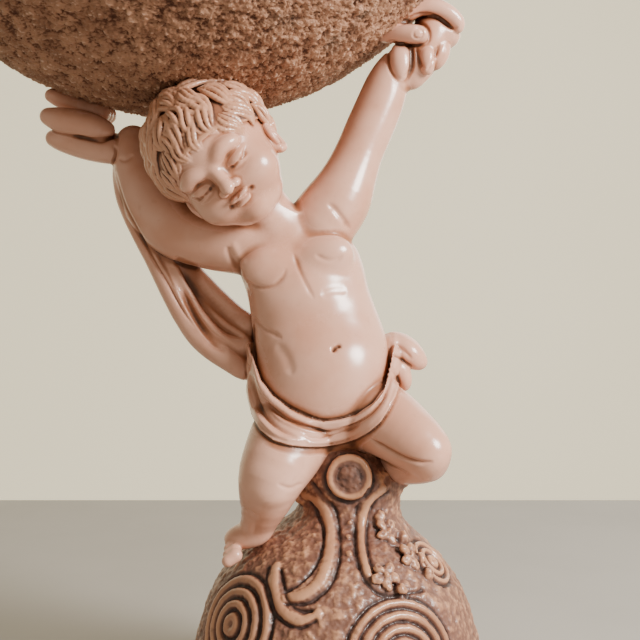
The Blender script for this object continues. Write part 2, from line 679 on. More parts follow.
def shape_feet(clay):
    """The left foot tucked behind, and the right foot on the mound with its toes in a row."""
    long_way, across = np.array([-0.80, -0.25, -0.55]), np.array([0.10, -0.86, -0.50])
    above = np.cross(long_way, across)
    axes = [v / np.linalg.norm(v) for v in (long_way, across, above)]
    middle = np.array([-52.5, -18, 112])
    clay.add(ball(middle, (12.5, 9.5, 6.5), axes), 3)
    for number in range(5):
        size = 2.5 + 0.4 * number
        base = middle + 8.6 * axes[0] + (4.6 * number - 9.4) * axes[1]
        clay.add(limb(base, base + (3.6 + 0.35 * number) * axes[0], size, size * 0.9), 0.6)
    clay.add(limb((36, 36, 151), (34, 54, 144), 8, 5.6), 3)
    for number in range(5):
        base = np.array([27.5 + 3.6 * number, 57, 142])
        clay.add(limb(base, base + np.array([0, 5, -1.5]), 2.6, 2.2), 0.7)


# --- the cherub's drapery ---------------------------------------------------------------------------
HIP, HIP_REACH = (-9.0, -4.0), (41.5, 31.0)
SASH_TURNS = (-180, -140, -110, -90, -78, -66, -52, -38, -24, -11, 1, 14, 28, 42, 55, 66, 76, 90,
              110, 140, 180)
SASH_TOP = (219, 220, 224, 221, 213, 206, 197, 189.5, 183.6, 179.4, 176.8, 177.6, 180.6, 186, 192.5, 199.5,
            210, 220, 224, 221, 219)
SASH_LOW = (195, 199, 203, 200, 192, 180, 170.5, 164.6, 161.8, 160.7, 160.8, 162.2, 165.4, 170.7, 177.5,
            185, 191.6, 198, 200, 197, 195)
FRONT_TOP = ((-54, 226), (-48.4, 209.5), (-45.4, 201.5), (-38.5, 192.6), (-28.5, 184.6), (-18.5, 179.6),
             (-8.6, 176.6), (1.4, 177.7), (11.3, 180.7), (21.2, 187.6), (28.2, 196.6), (31.2, 206.5),
             (33.2, 216.5), (35, 226))
FRONT_LOW = ((-57, 240), (-56, 215), (-55.4, 199.6), (-53.9, 189.6), (-51.4, 179.6), (-46.4, 170.7),
             (-38.5, 164.7), (-28.5, 161.8), (-18.5, 160.7), (-8.6, 160.7), (1.4, 162.2), (11.3, 165.2),
             (19.3, 169.7), (26.2, 175.7), (31.2, 183.6), (35.2, 191.6), (39, 203), (43, 214), (48, 232))


def wrap_sash(clay):
    """A band of cloth that lies on the hips, from an upper to a lower edge, and falls at the front."""
    window, (x, y, z) = clay.near((-62, -62, 155), (44, 50, 232), 0)
    x_seen, z_seen = drawn_place(x, y, z)
    turn = np.degrees(np.arctan2(x - HIP[0], -(y - HIP[1]) * 1.25))
    in_front = np.clip((6 - y) / 8, 0, 1)
    edges = []
    for back, front in ((SASH_TOP, FRONT_TOP), (SASH_LOW, FRONT_LOW)):
        wound = np.interp(turn, SASH_TURNS, back)
        drawn, left, right = (np.interp(x_seen + step, *zip(*front)) for step in (0, -1, 1))
        edges.append((wound + (drawn - wound) * in_front).astype(np.float32))
        edges.append(np.hypot(1, in_front * (right - left) / 2).astype(np.float32))
    top, top_slope, low, low_slope = edges
    skin = clay.field[window]
    share = np.clip((top - z_seen) / np.maximum(top - low, 1), 0, 1)
    swell = 2.4 + 1.2 * np.exp(-((share - 0.13) / 0.11) ** 2) + 0.4 * np.sin(11 * share + turn / 38)
    beyond = np.maximum((z_seen - top) / top_slope, (low - z_seen) / low_slope)
    band = np.maximum(skin - swell.astype(np.float32), beyond)
    clay.field[window] = soft_min(skin, band, 0.5)


def shape_sash_back(clay):
    """Folds of the sash round the back, where the cloth is bunched."""
    for lift, radius in ((0.14, 2.6), (0.42, 3.0), (0.72, 2.8), (0.95, 2.4)):
        line = []
        for turn in range(78, 290, 12):
            wound = (turn + 180) % 360 - 180
            top, low = np.interp(wound, SASH_TURNS, SASH_TOP), np.interp(wound, SASH_TURNS, SASH_LOW)
            angle = math.radians(turn)
            line.append((HIP[0] + HIP_REACH[0] * math.sin(angle), HIP[1] - HIP_REACH[1] * math.cos(angle),
                         top + (low - top) * lift + 1.5 * math.sin(turn / 20 + 9 * lift), radius))
        clay.add_all(strand(line, 5), 2)


def shape_knot(clay):
    """The tuck of cloth at the figure's left hip: an upper puff that points out, and a lower lobe."""
    clay.add_all(seen_strand([(31, 224, 2, 4.5), (38, 220.6, 0, 6.4), (43.6, 216.4, -1, 6.6),
                              (47.6, 213, 0, 5), (50, 211.6, 0, 3.4)], 3), 3)
    clay.add_all(seen_strand([(34, 226, 3, 3.6), (42, 222, 2, 4), (48.6, 216.4, 1, 3)], 3), 3)
    clay.add_all(seen_strand([(32, 222, -3, 4.5), (32.5, 213, -6, 4.5), (32, 205, -9, 3.4)], 3), 3)
    clay.add_all(seen_strand([(33, 214, -2, 4), (37.5, 207.5, -3, 5), (40.4, 201, -2, 4),
                              (41, 197, -1, 2.4)], 3), 2)


def shape_swag(clay):
    """The cloth that hangs from the figure's right forearm and runs in behind the hip."""
    outer = [(-131, 327, 14, 3.2), (-128.4, 312, 13, 3.8), (-123, 299, 12, 4.4), (-116, 286, 12, 5),
             (-109, 274, 12, 5.6), (-100.5, 258, 12, 6.4), (-91, 240.5, 11, 6.8), (-82.5, 228.5, 10, 7.2),
             (-73.5, 220.4, 8, 7.2), (-64, 213.6, 6, 6.6), (-55, 206, 4, 5)]
    middle = [(-112, 288, 14, 5), (-101, 273, 14, 7), (-92, 257, 14, 7.4), (-82, 242, 13, 7.8),
              (-70, 230, 11, 8), (-54, 221, 8, 7.4)]
    inner = [(-100, 282, 17, 5), (-90, 268, 17, 6), (-79, 256, 16, 6.2), (-69.5, 246.5, 15, 6.2),
             (-60, 238.4, 13, 6), (-49, 231, 10, 6)]
    for fold in (outer, middle, inner):
        clay.add_all(seen_strand(fold, 4), 3)


# Strokes as engrave takes them: the line, its half width, its height and how brown it is.
FLESH_STROKES = (
    ([(-60.5, 271), (-57.4, 265.2), (-54.4, 259.8), (-48.4, 256.7), (-43.4, 256.3), (-37.4, 258.2),
      (-32.5, 263.2), (-30.4, 268)], 1.5, -0.8, 0.34),
    ([(-13, 276.4), (-9, 274), (-4.6, 272.8), (0, 273.4), (3.4, 276)], 1.5, -0.7, 0.3),
    ([(-26, 277), (-22.6, 267.4), (-18.5, 258.2), (-14, 250)], 1.3, -0.7, 0.3),
    ([(-66.3, 281.4), (-63.3, 273.2), (-59.4, 266.6)], 1.7, -0.9, 0.35),
    ([(-62.6, 284), (-59.6, 276.8), (-55.4, 270)], 2.2, 0.6, 0.0),
    ([(-51.4, 240.6), (-48.4, 235.4), (-43.4, 231.4), (-38.5, 228.9), (-33, 226)], 1.5, -0.7, 0.32),
    ([(-36, 223), (-30, 214), (-27, 204)], 3.0, -0.7, 0.1),
    ([(-10, 252), (-2, 254.6), (6, 254.4)], 2.4, -0.5, 0.08),
    ([(-5.6, 307), (-1.6, 303.6), (3.4, 297.5), (7.6, 291)], 1.8, -1.2, 0.34),
    ([(-2.8, 217.2), (-1.4, 219.8), (0.6, 221.2), (2.6, 220.6)], 1.05, -2.0, 1.2),
    ([(-2.6, 218.4), (-0.8, 220.4)], 1.8, -0.8, 0.4),
    ([(-50.2, 236), (-49.8, 222), (-48.6, 210)], 1.0, -0.6, 0.9),
    ([(-45, 163), (-36, 160.6), (-24, 158), (-10, 158.4), (2, 160), (12, 163), (22, 168)], 2.6, -0.3, 0.45),
    ([(20, 166), (30, 160), (40, 154.6), (50, 151.6), (58, 152)], 1.2, -1.5, 0.75),
    ([(-131, 334), (-127, 333), (-122, 336)], 1.3, -0.6, 0.4),
    ([(33, 382), (40, 375), (46, 376)], 2.6, -0.2, 0.35),
    ([(-36, 138.6), (-28, 136), (-21, 139)], 1.3, -0.7, 0.3),
    ([(-66, 121.5), (-60, 124), (-52, 122), (-46, 117)], 1.3, -0.5, 0.35),
)
SASH_STROKES = (
    ([(-49.6, 212), (-45.6, 201.8), (-38.5, 192.6), (-28.5, 184.8), (-18.5, 179.8), (-8.6, 176.8),
      (1.4, 177.8), (11.3, 180.8), (21.2, 187.6), (28.2, 196.6), (31.4, 206.5), (32.4, 217)],
     0.8, -1.2, 0.68),
    ([(-50, 207), (-45.6, 196), (-38, 187.4), (-28, 179.8), (-18, 175), (-8, 172.6), (2, 173.6), (12, 177),
      (22, 184)], 1.52, 1.3, 0),
    ([(-43.4, 189), (-36, 181.6), (-27, 176.4), (-17, 173), (-8, 170.8), (-3.6, 170)], 1.36, -1.7, 0.46),
    ([(-40, 183), (-32, 176), (-22, 171.6), (-12, 169.4), (-4, 169)], 1.2, 0.9, 0),
    ([(-52, 206), (-50.6, 197), (-47.4, 187), (-41.5, 177.4), (-32.5, 170.4), (-24, 166.6)], 1.36, -1.7, 0.5),
    ([(-53.6, 197), (-51, 187), (-46, 177), (-39, 169.8), (-30, 165.6), (-20, 164.6)], 1.2, 0.9, 0),
    ([(13.6, 174.6), (6.3, 170.6), (-3.6, 166.9), (-12.6, 165.7), (-20, 168)], 1.12, -1.4, 0.46),
    ([(0, 172.6), (11.3, 175.2), (20, 180.6), (27, 189), (30.6, 198)], 0.8, -0.8, 0.31),
    ([(16, 171), (6, 166.8), (-6, 164), (-18, 163.2)], 1.28, 0.8, 0),
    ([(-47, 176), (-40, 168), (-30, 164.6)], 1.92, -0.6, 0.28),
    ([(-55.8, 199), (-54, 189.6), (-51.4, 179.6), (-46.4, 170.4), (-38.5, 164), (-28.5, 160.9),
      (-18.5, 159.9), (-8.6, 159.9), (1.4, 161.4), (11.3, 164.4), (19.3, 169), (26.2, 175), (31.4, 183),
      (35.4, 191)], 0.72, -0.5, 0.56),
    ([(-55.6, 198), (-53.6, 208), (-51.4, 216), (-50.4, 228)], 0.72, -0.9, 0.5),
    ([(33, 216), (37, 214.6), (42, 211), (46, 208.6)], 0.8, -1.2, 0.56),
    ([(34, 223.6), (39, 219.6), (45, 213.6)], 1.12, -0.9, 0.25),
    ([(33, 209), (36, 203), (38, 197)], 0.8, -0.9, 0.43),
)
SWAG_STROKES = (
    ([(-133, 326), (-128.6, 308), (-121.6, 293.6), (-112.6, 277.6), (-102.5, 260.6), (-92, 242),
      (-84, 231)], 1, -1.6, 0.83),
    ([(-93, 256), (-88, 244.6), (-82, 233.4), (-75, 223.6), (-67, 218)], 2.4, -2.6, 0.75),
    ([(-95, 270), (-86.2, 257), (-78.2, 243.3), (-68.3, 232.4), (-56, 226)], 2.2, -3.0, 0.94),
    ([(-91, 269), (-80, 258), (-72, 248.6), (-62, 241), (-52, 236)], 4.2, -1.0, 0.46),
    ([(-104, 271), (-97, 256), (-89, 240), (-80, 228), (-70, 219.6)], 1.6, 1.2, 0),
    ([(-99, 272), (-90, 256), (-82, 241), (-72, 230), (-60, 222)], 1.6, 1.2, 0),
    ([(-108, 277), (-102, 266), (-97, 254)], 1.2, -0.9, 0.45),
    ([(-98, 274), (-90, 271), (-82, 267)], 3, -0.5, 0.68),
)
HAND_STROKES = (
    ([(33, 412.6), (37.9, 414.9), (43.4, 417.6), (48.4, 420), (54.3, 420.4), (60.2, 418.6), (65.3, 415),
      (69, 412.2), (72.6, 412.6)], 1.2, -1.4, 0.61),
    ([(32, 405), (36.6, 402.7), (41.7, 402.7), (46.7, 401.6), (52, 402.3)], 1, -1.2, 0.61),
    ([(37.9, 414.6), (45.1, 415.4), (51.8, 414.4), (55.2, 410.6), (55.6, 405.4), (53.5, 402)],
     0.9, -1.0, 0.44),
    ([(46.3, 411), (48.6, 412.2), (51, 411), (51.6, 408.6), (50.4, 406.4), (48, 405.8), (46, 407.4),
      (46.3, 411)], 0.6, -0.7, 0.28),
    ([(31.2, 405.4), (30.4, 395.3), (32, 386.9), (36.6, 379.6)], 0.9, -1.1, 0.5),
    ([(44.9, 401), (45, 393.2), (44.4, 387.8), (42, 383.5), (38.7, 380.6)], 1.3, -1.4, 0.63),
    ([(47.6, 400.8), (48.4, 395.3), (50.1, 390.3), (52.4, 387.6)], 1.2, -1.3, 0.61),
    ([(61.4, 403), (59.6, 397), (57, 391), (53.5, 385.6)], 0.9, -0.8, 0.39),
    ([(67.4, 404.6), (65.3, 398.7), (62.7, 393.6), (58.9, 389), (54, 384)], 2.2, -0.6, 0.52),
    ([(-160, 347.6), (-153.8, 346.6), (-146.4, 344.9), (-140.9, 344), (-136.3, 346.1), (-130.8, 347)],
     1, -1.2, 0.66),
    ([(-166, 362), (-154, 361.4), (-142, 358), (-132, 356)], 2, 0, 0.55),
    ([(-134.5, 331), (-133, 337), (-134, 342)], 0.9, -0.8, 0.39),
)


def brown_beside(points, centre, radius, width, most):
    """The brown left close to a ball, which fades over the width."""
    gap = np.linalg.norm(points - np.array(centre), axis=1) - radius
    return most * np.exp(-(np.clip(gap, 0, 99) / width) ** 2)


def by_the_bowl(points):
    return brown_beside(points, BOWL_C, BOWL_R, 5, 0.95)


def make_body():
    clay = Clay((-194, -62, 90), (84, 70, 434), 0.72)
    shape_trunk(clay)
    shape_arms(clay)
    shape_right_hand(clay)
    shape_left_hand(clay)
    shape_legs(clay)
    shape_feet(clay)
    wrap_sash(clay)
    shape_sash_back(clay)
    shape_knot(clay)
    shape_swag(clay)
    points, quads = clay.skin()
    normals = outward(points, quads)
    hollow = clay.hollowness(points, 4.5) * 5 + clay.hollowness(points, 14) * 5
    brown = np.maximum(by_the_bowl(points), brown_beside(points, HEAD, 37, 6, 0.75))
    for strokes, depths in ((FLESH_STROKES, (-80, 8)), (SASH_STROKES, (-80, 22)), (SWAG_STROKES, (-8, 60)),
                            (HAND_STROKES, (-40, 40))):
        height, tint = engrave(points, normals, strokes, depths)
        points = points + normals * height[:, None]
        brown = np.maximum(brown, 1.25 * tint)
    add_piece("cherub_body", points, quads, SKIN, TOP_BODY, {"hollow": hollow + brown},
              "cherub_figure")


# --- the cherub's head ------------------------------------------------------------------------------
class HeadFrame:
    """The head's own directions: side (to the figure's left), front and crown, from how it is bowed."""

    def __init__(self, centre, front, crown):
        front, crown = np.array(front, float), np.array(crown, float)
        self.front = front / np.linalg.norm(front)
        crown = crown - (crown @ self.front) * self.front
        self.crown = crown / np.linalg.norm(crown)
        self.side = np.cross(self.crown, self.front)
        self.centre = centre
        self.axes = (self.side, self.front, self.crown)

    def at(self, side, front, crown):
        return self.centre + side * self.side + front * self.front + crown * self.crown

    def own(self, points):
        """Points given from the head's centre along its own directions."""
        return (points - self.centre) @ np.array(self.axes).T

    def ball(self, side, front, crown, radii):
        return ball(self.at(side, front, crown), radii, self.axes)

    def limb(self, a, b, a_radius, b_radius):
        return limb(self.at(*a), self.at(*b), a_radius, b_radius)

    def strand(self, points, step=2.0):
        return strand([(*self.at(*point[:3]), point[3]) for point in points], step)


EYEBALL = (12.2, 26.0, -4.0)


def shape_skull(clay, head):
    clay.add(head.ball(0, -3, 7, (33, 36, 33)))
    clay.add(head.ball(0, 11, -13, (26, 23, 24)), 10)
    clay.add(head.ball(0, 13, 10, (25, 20.5, 19)), 8)
    clay.add(head.ball(0, 13, -31, (15, 13, 8)), 8)
    clay.add(head.ball(0, 24, -31, (7.5, 7, 6)), 6)
    for side in (-1, 1):
        clay.add(head.ball(side * 14.5, 20, -15, (11.5, 11.5, 11.5)), 8)


def lid(head, side, radii, level, upper):
    """Part of a shell over the eyeball: the upper lid stops above a level, the lower lid below it."""
    low, high, shell = head.ball(side * EYEBALL[0], *EYEBALL[1:], radii)
    way = -1 if upper else 1

    def distance(x, y, z):
        rise = sum((u - c) * a for u, c, a in zip((x, y, z), head.centre, head.crown))
        across = sum((u - c) * a for u, c, a in zip((x, y, z), head.centre, head.side))
        edge = level - 0.035 * way * (across - side * EYEBALL[0]) ** 2 * (0.9 if upper else 0.5)
        return np.maximum(shell(x, y, z), way * (rise - edge))

    return low, high, distance


def shape_eye(clay, head, side):
    clay.cut(head.ball(side * 12.4, 38.6, -3, (8, 4.8, 4.8)), 7)
    clay.add(head.ball(side * EYEBALL[0], *EYEBALL[1:], (6.8, 7.1, 4.8)), 0.4)
    clay.add(lid(head, side, (9.0, 7.9, 6.0), -4.2, True), 1.4)
    clay.add(lid(head, side, (8.6, 7.6, 5.6), -6.2, False), 1.4)
    brow = [(side * 5, 33, 4.2, 1.0), (side * 12, 32.6, 6.6, 1.2), (side * 19, 29, 4.4, 1.0)]
    clay.add_all(head.strand(brow, 2), 5)


def shape_nose_and_mouth(clay, head):
    clay.add(head.limb((0, 32.8, 1), (0, 37, -8), 2.8, 3.4), 4)
    clay.add(head.ball(0, 38.4, -10.6, (4.0, 3.8, 3.4)), 2.5)
    for side in (-1, 1):
        clay.add(head.ball(side * 4.5, 35.6, -11.6, (2.7, 3.2, 2.5)), 1.2)
        clay.cut(head.ball(side * 2.3, 38.0, -13.8, (1.3, 1.9, 1.1)), 0.6)
        clay.add(head.ball(side * 2.7, 35.0, -18.4, (3.6, 2.4, 1.7)), 1.2)
        clay.cut(head.ball(side * 7.6, 33.6, -20.2, (1.5, 1.7, 1.2)), 1.5)
    clay.add(head.ball(0, 35.8, -18.8, (2.0, 2.2, 1.6)), 1.2)
    clay.add(head.ball(0, 34.2, -22.2, (5.0, 2.7, 2.1)), 1.2)
    mouth = [(-7.4, 33.4, -20.2, 0.5), (-3.4, 36.4, -20.4, 0.9), (0, 37.2, -20.1, 0.9),
             (3.4, 36.4, -20.4, 0.9), (7.4, 33.4, -20.2, 0.5)]
    clay.cut_all(head.strand(mouth, 1.2), 0.7)
    clay.cut(head.ball(0, 35.2, -25.9, (4.6, 2.0, 1.5)), 2.5)
    clay.cut(head.limb((0, 37.8, -14.6), (0, 37.2, -17.2), 0.7, 0.9), 1.2)


def shape_ear(clay, head, side):
    clay.add(head.ball(side * 28.5, 3, -14, (4.2, 6.2, 9)), 2)
    clay.cut(head.ball(side * 32, 4.6, -13.4, (2.8, 3.4, 4.8)), 1.2)
    rim = [(side * 30.8, 8, -16, 1.3), (side * 31.4, 8.4, -9.6, 1.5), (side * 31.2, 4, -5, 1.7),
           (side * 31, -0.6, -8, 1.7), (side * 30.8, -1.6, -14, 1.6), (side * 30.2, 1.6, -20.6, 2.1),
           (side * 29.4, 6.4, -20, 1.9)]
    clay.add_all(head.strand(rim, 2), 0.8)


SCALP_C = (0, -4, 7)
# How far down the locks reach: high over the forehead, down past the ears, low at the nape.
HAIR_TURNS, HAIR_RISES = (0, 25, 45, 62, 80, 110, 180), (15, 12, 1, -7, -14, -34, -42)


def hairline(turn):
    """The rise at which the hair starts."""
    return np.interp(np.abs(turn), HAIR_TURNS, HAIR_RISES)


def turn_and_rise(side, front, crown):
    """The angles of a place about the scalp's centre, as scalp_point takes them."""
    return np.degrees(np.arctan2(side, front)), np.degrees(np.arctan2(crown, np.hypot(side, front)))


def scalp_point(head, turn, rise, lift):
    """A point over the scalp: turn round the crown from the front, rise above the ears' level, in degrees."""
    turn, rise = math.radians(turn), math.radians(rise)
    flat = math.cos(rise)
    return head.at((33.5 + lift) * flat * math.sin(turn), SCALP_C[1] + (36.5 + lift) * flat * math.cos(turn),
                   SCALP_C[2] + (34 + lift) * math.sin(rise))


# Where brown was left on the face: side, front, crown, radius and how brown.
FACE_WASH = ((12, 33.4, -5.2, 1.6, 0.9), (15.4, 32.4, -5.2, 1.5, 0.7), (8.6, 32.6, -5.2, 1.5, 0.7),
             (18.4, 30.4, -5, 2, 0.4), (5.8, 32.6, -4.6, 2.4, 0.5), (12, 33.4, 0.8, 3.0, 0.28),
             (2.3, 37.6, -13.8, 1.5, 0.5), (6.6, 34.4, -11.6, 1.8, 0.3), (7.6, 33, -20.2, 2.2, 0.3),
             (3.0, 36.4, -20.3, 1.8, 0.4), (2.4, 35, -26, 3.0, 0.25))


def face_wash(head, points):
    """The brown left about the eyes, nostrils and lips."""
    own = head.own(points)
    brown = np.zeros(len(points))
    for side, front, crown, radius, tint in FACE_WASH:
        for hand in (-1, 1):
            off = np.linalg.norm(own - (hand * side, front, crown), axis=1)
            brown = np.maximum(brown, tint * np.exp(-(off / radius) ** 2))
    return brown


def on_scalp(head, points):
    """1 where a point lies above the hairline, else 0."""
    turn, rise = turn_and_rise(*(head.own(points) - SCALP_C).T)
    return (rise > hairline(turn) + 2).astype(float)


def shape_lock(clay, head, turn, tip_rise, length, lift, sway, width):
    """One leaf-shaped lock: strands that part in the middle and meet at the tip."""
    shares = np.linspace(0, 1, 6)
    for across in (-1.0, -0.33, 0.33, 1.0):
        points = []
        for share in shares:
            rise = tip_rise + length * (1 - share)
            bulge = math.sin(math.pi * min(1.0, share * 1.02) ** 0.85)
            drift = sway * math.sin(2.2 * share) + 3.0 * math.sin(5.5 * share + turn)
            spread = across * width * bulge / max(0.35, math.cos(math.radians(rise)))
            height = lift + 2.4 * bulge - 1.5 * abs(across) * bulge
            point = scalp_point(head, turn + drift + spread, rise, height)
            points.append((*point, 0.8 + 0.85 * bulge))
        clay.add_all(strand(points, 3), 0.25)


def shape_hair(clay, head):
    """A thin cap over the scalp, then rings of locks from the nape up to the crown."""
    clay.add(head.ball(0, -14, -10, (29, 20, 22)), 3)
    window, places = clay.near(clay.low, clay.low + clay.cell * clay.size, 0)
    own = [sum((places[n] - head.centre[n]) * axis[n] for n in range(3)) - shift
           for axis, shift in zip(head.axes, SCALP_C)]
    turn, rise = turn_and_rise(*own)
    below = (hairline(turn) - rise).astype(np.float32) * 0.5
    clay.field[window] = np.minimum(clay.field[window], np.maximum(clay.field[window] - 1.2, below))
    rng = np.random.default_rng(11)
    # Each ring: how far above the hairline its tips lie, the locks' length and lift, and how many there are.
    rings = ((-9, 30, 1.5, 18), (5, 32, 2.1, 17), (19, 33, 2.7, 15), (33, 33, 3.3, 12), (47, 30, 3.8, 9),
             (61, 26, 4.2, 6))
    for layer, (above, length, lift, count) in enumerate(rings):
        for number in range(count):
            turn = -180 + 360 * (number + 0.5 * (layer % 2)) / count + rng.uniform(-6, 6)
            tip = float(hairline(turn)) + above + rng.uniform(-4, 4)
            if tip > 84:
                continue
            sway = rng.uniform(-14, 30) * (1 if turn > 0 else -1)
            width = rng.uniform(7.5, 11)
            shape_lock(clay, head, turn, tip, length * rng.uniform(0.9, 1.15), lift, sway, width)


def make_head():
    head = HeadFrame(HEAD, (0.0, -0.91, -0.40), (-0.70, -0.26, 0.66))
    clay = Clay(HEAD - 52, HEAD + 52, 0.55)
    shape_skull(clay, head)
    for side in (-1, 1):
        shape_eye(clay, head, side)
        shape_ear(clay, head, side)
    shape_nose_and_mouth(clay, head)
    face = clay.field.copy()
    shape_hair(clay, head)
    clay.cut(ball(BOWL_C, (BOWL_R - 3,) * 3))
    points, quads = clay.skin()
    lift = clay.sample(face, points)
    scalp = on_scalp(head, points)
    hair = np.maximum(np.clip(lift / 1.2, 0, 1), scalp)
    hollow = clay.hollowness(points, 2.4) * (4.5 + 3.5 * hair) + clay.hollowness(points, 8) * 4.5
    gaps = scalp * np.clip(1.9 - lift / 1.7, 0, 1)
    hollow = hollow + 0.1 * hair + 0.45 * gaps + face_wash(head, points) + 0.6 * by_the_bowl(points)
    piece = add_piece("cherub_head", points, quads, SKIN, TOP_BODY, {"hollow": hollow},
                      "cherub_figure")
    piece.data.materials.append(HAIR)
    is_hair = hair[quads].mean(axis=1) > 0.5
    piece.data.polygons.foreach_set("material_index", is_hair.astype(np.int32))


# --- the mound ------------------------------------------------------------------------------------
# The mound's side: height, how far its centre stands along X, and radius.
MOUND_ROWS = np.array([
    (46, 0, 83), (56, 0, 81.5), (68, 0, 78.5), (82, 0, 72.5), (96, 0, 62), (106, 1, 51), (114, 3, 40),
    (121, 6, 31.5), (130, 8, 29.5), (139, 8, 32), (146, 7, 33), (154, 4, 27), (162, 0, 23),
], float)


def mound_side(z):
    """The mound's shift and radius at a height."""
    return (np.interp(z, MOUND_ROWS[:, 0], MOUND_ROWS[:, column]) for column in (1, 2))


def on_mound(degrees, z):
    """A point of the mound's side, by its angle from the front and its height."""
    shift, radius = mound_side(z)
    turn = math.radians(degrees)
    return shift + radius * math.sin(turn), -radius * math.cos(turn), z


# Lines on the mound, as (angle from the front, height).
STRAP_EDGES = (
    [(-42, 143), (-20, 130), (-6, 117), (-1, 106), (-5, 95), (-14, 87.5), (-24, 86)],
    [(17, 141), (6, 131), (8, 117), (10, 107), (13, 98), (18, 91.5), (27, 89), (43, 89)],
    [(-70, 133), (-52, 132), (-31, 122), (-19, 116.5), (-14, 109), (-15, 102), (-20, 95.5), (-26, 91)],
    [(42, 138), (24, 131.5), (19, 118), (18, 112), (18, 104)],
    [(-43, 100), (-38, 92), (-33, 86), (-28, 81), (-22, 77), (-16, 76), (-10, 80)],
    [(-34, 100), (-28, 94), (-24, 88), (-18, 84), (-12, 84)],
)
STRAPS = (
    ([(-62, 136), (-36, 131), (-20, 121), (-10, 112), (-8, 104), (-11, 96), (-18, 90), (-25, 88.5)], 3.2),
    ([(34, 141), (18, 133), (13.5, 120), (14, 110), (15, 100)], 2.6),
    ([(-38, 101), (-33, 93), (-28, 86), (-22, 81), (-15, 79.5), (-9, 83)], 2.8),
)
ROSETTES = ((39, 116), (47, 104), (24, 98))
STUDS = ((0, 122), (3, 115.5), (5, 108.5))
GROOVE_WIDTH = 1.15
# Spirals on the mound: the centre, and the radii of their grooves.
VOLUTES = (
    ((33, -70, 57), (33.5, 27.5, 21.0, 14.5, 8.0)),
    ((-58, -49, 70), (29.0, 21.5, 14.5, 8.0)),
    ((55, -24, 99), (15.5, 10.5, 5.5)),
)


def line_tree(lines):
    """A search tree over closely spaced points of lines on the mound, and of their copies round the back."""
    spots = []
    for line in lines:
        for half_turn in (0, 180):
            row = [on_mound(angle + half_turn, z) for angle, z in line]
            spots.extend(curve_through(row, 0.6))
    tree = KDTree(len(spots))
    for number, spot in enumerate(spots):
        tree.insert(spot, number)
    tree.balance()
    return tree


def distances(tree, points):
    return np.array([tree.find(p)[2] for p in points.tolist()])


def mound_relief(points):
    """Height to raise each point by, and how dark its wash is."""
    edge = distances(line_tree(STRAP_EDGES), points)
    groove = np.exp(-(edge / GROOVE_WIDTH) ** 2)
    band = np.zeros(len(points))
    for line, half_width in STRAPS:
        off = distances(line_tree([line]), points) / half_width
        band = np.maximum(band, np.clip(1 - off ** 2, 0, 1) ** 0.6)
    rim = np.zeros(len(points))
    for centre, radii in VOLUTES:
        for mirror in (1, -1):
            off = np.linalg.norm(points - np.array(centre) * (mirror, mirror, 1), axis=1)
            for radius in radii:
                groove = np.maximum(groove, np.exp(-((off - radius) / GROOVE_WIDTH) ** 2))
            outer, inner = radii[0], radii[-1]
            pitch = (outer - inner) / (len(radii) - 1)
            ripple = 0.5 + 0.5 * np.cos(2 * math.pi * ((off - outer) / pitch - 0.5))
            rim = np.maximum(rim, np.where(off < outer, ripple, 0))
    off = np.linalg.norm(points - np.array(MEDALLION), axis=1)
    front = points[:, 1] < -18
    ring = np.where(front, np.exp(-((off - 11.4) / 2.2) ** 2), 0)
    ring_edge = np.maximum(np.exp(-((off - 14.8) / 1.3) ** 2), 0.5 * np.exp(-((off - 8.4) / 1.4) ** 2))
    groove = np.maximum(groove, np.where(front, ring_edge, 0))
    smooth = np.clip(np.maximum(np.maximum(band, rim), ring), 0, 1)
    ground = 1 - smooth
    rough = lumps(points, 4.5, 1, 5) * 0.9 + lumps(points, 1.9, 2, 3) * 0.45
    centre_pit = np.where(front & (off < 7.5), 1.0, 0.0)
    height = (1.5 * band + 1.3 * rim + 1.5 * ring - 1.7 * groove
              + rough * (0.15 + 0.85 * ground) * 0.8 - centre_pit)
    dark = 1.05 * groove + 0.42 * ground + 0.35 * centre_pit - 0.35 * smooth - 0.45 * rough * ground
    return height, dark


def shape_rosette(clay, degrees, z, size):
    """A five-petalled flower laid on the mound."""
    centre = np.array(on_mound(degrees, z))
    out = np.array([math.sin(math.radians(degrees)), -math.cos(math.radians(degrees)), 0.7])
    out /= np.linalg.norm(out)
    one = np.cross(out, (0, 0, 1))
    one /= np.linalg.norm(one)
    two = np.cross(out, one)
    for number in range(5):
        turn = 2 * math.pi * (number + 0.2) / 5
        along = math.cos(turn) * one + math.sin(turn) * two
        beside = np.cross(out, along)
        petal = centre + size * 0.58 * along + 1.6 * out
        clay.add(ball(petal, (size * 0.46, size * 0.36, 1.9), (along, beside, out)), 0.4)
        clay.cut(limb(petal + 1.9 * out, petal + along * size * 0.3 + 2.2 * out, 0.5, 0.9), 0.6)
    clay.add(ball(centre + 2.6 * out, (size * 0.22,) * 3), 0.4)


